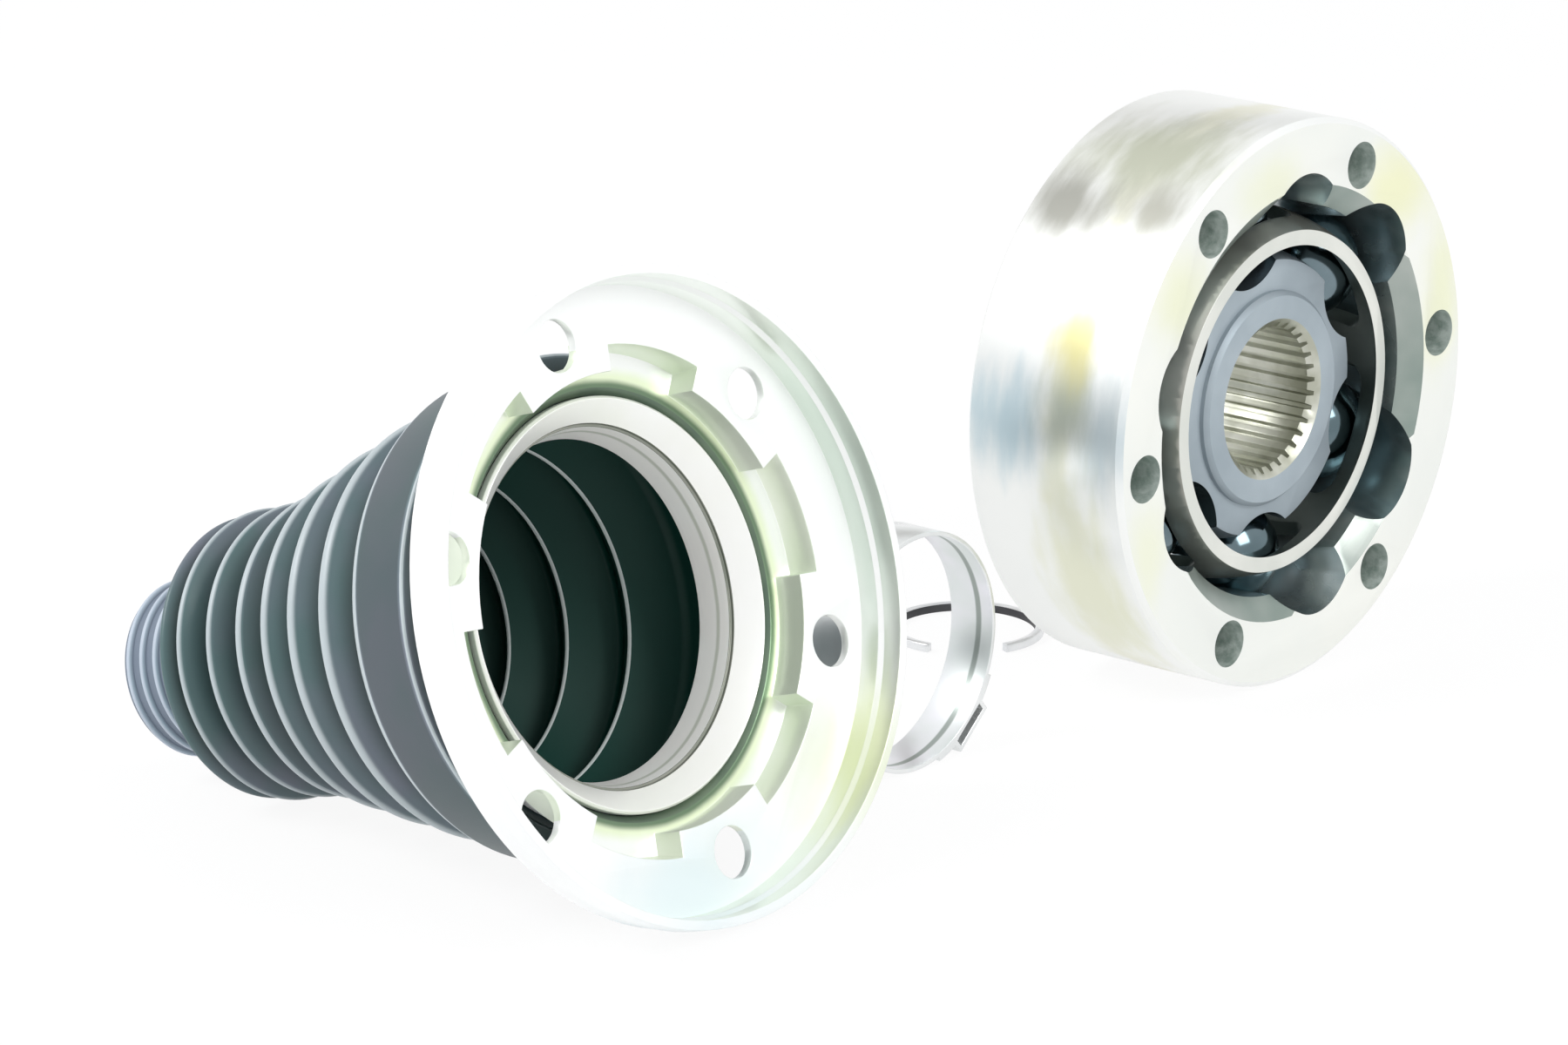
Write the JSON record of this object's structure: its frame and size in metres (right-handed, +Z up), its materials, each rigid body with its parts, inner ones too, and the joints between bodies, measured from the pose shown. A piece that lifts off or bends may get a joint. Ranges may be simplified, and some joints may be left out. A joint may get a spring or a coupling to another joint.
{
  "type": "constant velocity joint",
  "caption": "Plunging ball-type constant velocity joint with crossed tracks, laid out with its capped bellows boot, neck clamp and shaft circlip.",
  "frame": {"origin": "centre of the joint: middle of the outer race's width on its axis, on the bolt circle's axis", "axes": "+X along the joint's axis out of the face that bolts to the gearbox flange (towards the viewer's right in the picture), +Z up from the floor, which lies at z = -0.05 m, +Y away from the boot"},
  "size_m": [0.1299, 0.2586, 0.1019],
  "materials": {
    "race_steel": "ground steel with a thin film of oil",
    "cage_steel": "case-hardened steel, greased",
    "hub_steel": "phosphated steel, matte",
    "ball_steel": "polished bearing steel",
    "cap_steel": "pressed and zinc-plated sheet steel",
    "ring_steel": "bright pressed steel",
    "boot_rubber": "satin black rubber with a slight sheen",
    "clamp_steel": "bright stainless band",
    "clip_steel": "blackened spring steel"
  },
  "bodies": {
    "outer_race_and_kit": {"outer_race": "race_steel", "boot_cap": "cap_steel", "boot_retaining_ring": "ring_steel", "boot_bellows": "boot_rubber", "neck_clamp": "clamp_steel", "shaft_circlip": "clip_steel"},
    "cage": {"cage": "cage_steel"},
    "inner_race": {"inner_race": "hub_steel"},
    "ball_1": {"ball_1": "ball_steel"},
    "ball_2": {"ball_2": "ball_steel"},
    "ball_3": {"ball_3": "ball_steel"},
    "ball_4": {"ball_4": "ball_steel"},
    "ball_5": {"ball_5": "ball_steel"},
    "ball_6": {"ball_6": "ball_steel"},
    "boot_neck": {"boot_neck": "boot_rubber"}
  },
  "joints": [
    {"name": "cage_tilt", "type": "hinge", "parent": "outer_race_and_kit", "child": "cage", "pos_m": [0, 0, 0], "axis": [0, 0, 1], "range_deg": [-9, 9]},
    {"name": "inner_race_tilt", "type": "hinge", "parent": "cage", "child": "inner_race", "pos_m": [0, 0, 0], "axis": [0, 0, 1], "range_deg": [-9, 9]},
    {"name": "ball_1_travel", "type": "slide", "parent": "outer_race_and_kit", "child": "ball_1", "axis": [0.9613, 0.2745, 0.025], "range_m": [-0.00047, 0.00047]},
    {"name": "ball_2_travel", "type": "slide", "parent": "outer_race_and_kit", "child": "ball_2", "axis": [0.9613, -0.1589, 0.2252], "range_m": [-0.00409, 0.00409]},
    {"name": "ball_3_travel", "type": "slide", "parent": "outer_race_and_kit", "child": "ball_3", "axis": [0.9613, -0.1156, -0.2502], "range_m": [-0.00454, 0.00454]},
    {"name": "ball_4_travel", "type": "slide", "parent": "outer_race_and_kit", "child": "ball_4", "axis": [0.9613, 0.2745, 0.025], "range_m": [-0.00047, 0.00047]},
    {"name": "ball_5_travel", "type": "slide", "parent": "outer_race_and_kit", "child": "ball_5", "axis": [0.9613, -0.1589, 0.2252], "range_m": [-0.00409, 0.00409]},
    {"name": "ball_6_travel", "type": "slide", "parent": "outer_race_and_kit", "child": "ball_6", "axis": [0.9613, -0.1156, -0.2502], "range_m": [-0.00454, 0.00454]},
    {"name": "boot_flex", "type": "hinge", "parent": "outer_race_and_kit", "child": "boot_neck", "pos_m": [0.0195, -0.1561, 0.00429], "axis": [-0.3024, 0, 0.9532], "range_deg": [-18, 18], "stiffness_Nm_per_rad": 0.5, "deforming": ["boot_bellows"]}
  ],
  "couplings": [
    {"joint": "inner_race_tilt", "follows": "cage_tilt", "ratio": 1},
    {"joint": "ball_1_travel", "follows": "cage_tilt", "m_per_rad": 0.0028757},
    {"joint": "ball_2_travel", "follows": "cage_tilt", "m_per_rad": -0.025927},
    {"joint": "ball_3_travel", "follows": "cage_tilt", "m_per_rad": -0.028803},
    {"joint": "ball_4_travel", "follows": "cage_tilt", "m_per_rad": -0.0028757},
    {"joint": "ball_5_travel", "follows": "cage_tilt", "m_per_rad": 0.025927},
    {"joint": "ball_6_travel", "follows": "cage_tilt", "m_per_rad": 0.028803}
  ]
}
